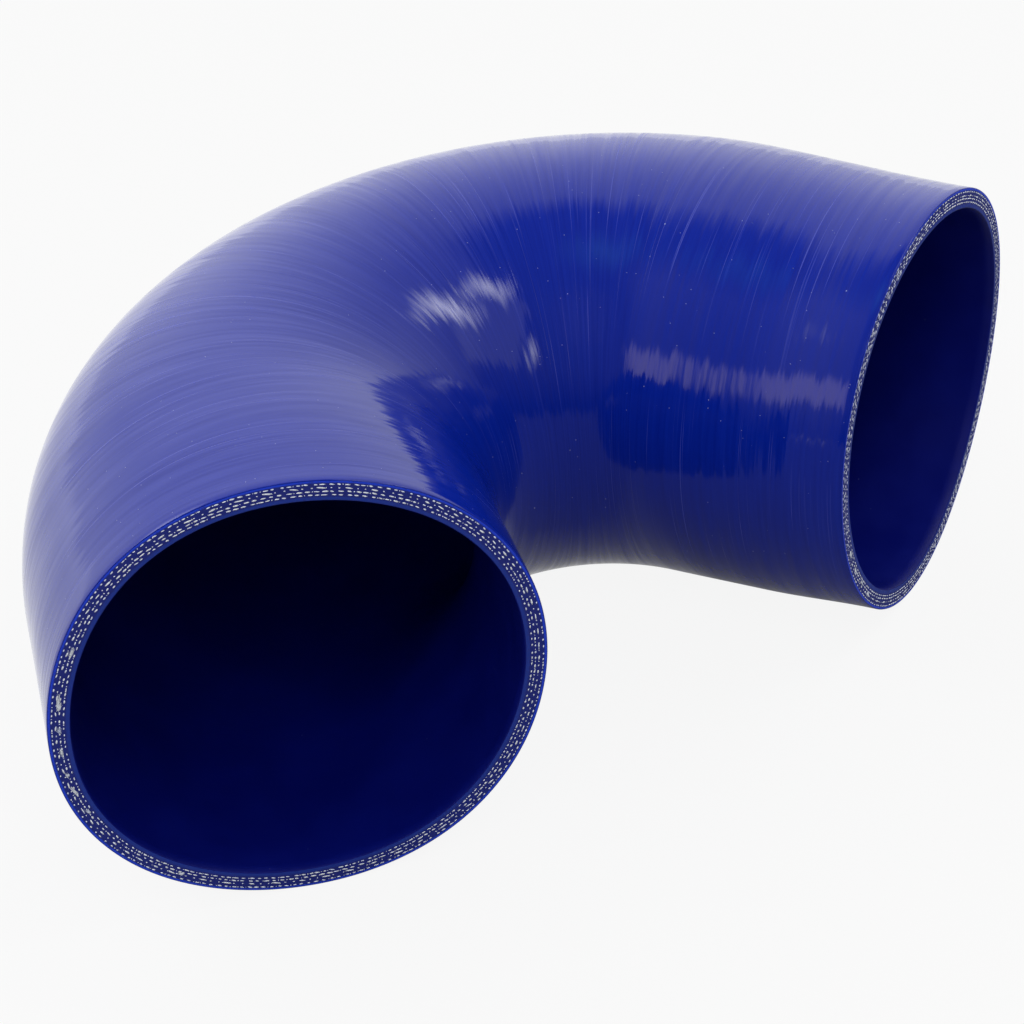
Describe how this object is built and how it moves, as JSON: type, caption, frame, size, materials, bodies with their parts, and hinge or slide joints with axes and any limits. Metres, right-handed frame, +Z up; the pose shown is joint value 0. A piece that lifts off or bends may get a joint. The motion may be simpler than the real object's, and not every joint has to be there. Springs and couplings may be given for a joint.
{
  "type": "silicone elbow hose",
  "caption": "Short bent rubber hose with a thick fabric-reinforced wall and square-cut open ends, for joining pipes at an angle.",
  "frame": {"origin": "on the ground, below the middle of the hose's box seen from above", "axes": "+Z up out of the level plane of the bend, -Y out of the near opening, +X towards the far opening"},
  "size_m": [0.2676, 0.1806, 0.113],
  "materials": {
    "blue_silicone": "glossy"
  },
  "bodies": {
    "root": {"elbow_hose": "blue_silicone"}
  },
  "joints": []
}
